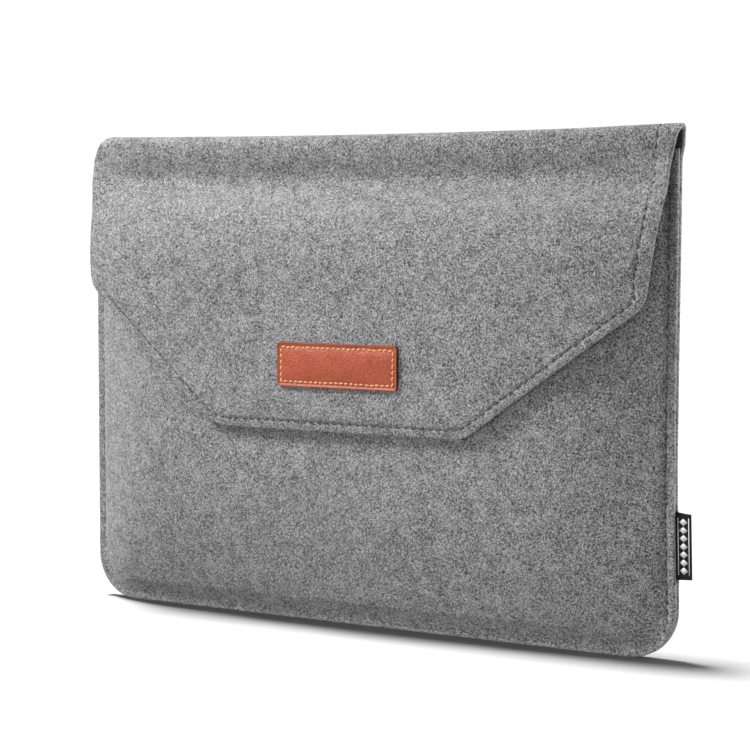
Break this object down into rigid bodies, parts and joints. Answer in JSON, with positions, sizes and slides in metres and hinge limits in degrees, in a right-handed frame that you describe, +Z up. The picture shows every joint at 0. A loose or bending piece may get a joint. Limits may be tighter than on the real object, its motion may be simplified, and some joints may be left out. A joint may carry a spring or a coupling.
{
  "type": "laptop sleeve",
  "caption": "Upright felt laptop sleeve with an open-topped padded pocket, an envelope flap that folds over the front, a leather patch and a ribbon side label.",
  "frame": {"origin": "on the surface the sleeve stands on, midway between the side seams and midway between the outer faces of the front and back panels", "axes": "+Z is up, the flap faces -Y, +X runs across the width to the right as one faces the flap"},
  "size_m": [0.3545, 0.0291, 0.25],
  "materials": {
    "grey_felt": "heathered wool felt",
    "plush_lining": "short plush",
    "tan_leather": "smooth grain",
    "tan_thread": "waxed thread",
    "grey_thread": "matte thread",
    "black_thread": "matte thread",
    "tape": "nylon hooks and loops",
    "black_ribbon": "satin weave"
  },
  "bodies": {
    "sleeve": {"back_panel": "grey_felt", "back_lining": "plush_lining", "front_panel": "grey_felt", "front_lining": "plush_lining", "side_seam_thread": "grey_thread", "mouth_thread": "grey_thread", "loop_tape_left": "tape", "loop_tape_right": "tape", "loop_tape_thread": "black_thread", "label_tail": "black_ribbon"},
    "fold": {"fold_felt": "grey_felt", "fold_lining": "plush_lining"},
    "roof": {"roof_felt": "grey_felt", "roof_lining": "plush_lining", "roof_edge_thread": "grey_thread"},
    "flap": {"flap_felt": "grey_felt", "flap_lining": "plush_lining", "leather_patch": "tan_leather", "leather_patch_thread": "tan_thread", "flap_edge_thread": "grey_thread", "hook_tape_left": "tape", "hook_tape_right": "tape", "hook_tape_thread": "black_thread"},
    "label": {"side_label": "black_ribbon"}
  },
  "joints": [
    {"name": "flap_fold", "type": "hinge", "parent": "sleeve", "child": "fold", "pos_m": [0, 0.011, 0.24749], "axis": [-1, 0, 0], "range_deg": [0, 69]},
    {"name": "flap_top_crease", "type": "hinge", "parent": "fold", "child": "roof", "pos_m": [0, 0.00447, 0.25], "axis": [-1, 0, 0], "range_deg": [0, 69]},
    {"name": "flap_ridge", "type": "hinge", "parent": "roof", "child": "flap", "pos_m": [0, -0.0165, 0.22672], "axis": [-1, 0, 0], "range_deg": [0, 42]},
    {"name": "label_bend", "type": "hinge", "parent": "sleeve", "child": "label", "pos_m": [0.1736, 0.008, 0.0545], "axis": [0, 0, 1], "range_deg": [-60, 60], "stiffness_Nm_per_rad": 0.00005}
  ],
  "couplings": [
    {"joint": "flap_top_crease", "follows": "flap_fold", "ratio": 1},
    {"joint": "flap_ridge", "follows": "flap_fold", "ratio": 0.6087}
  ]
}
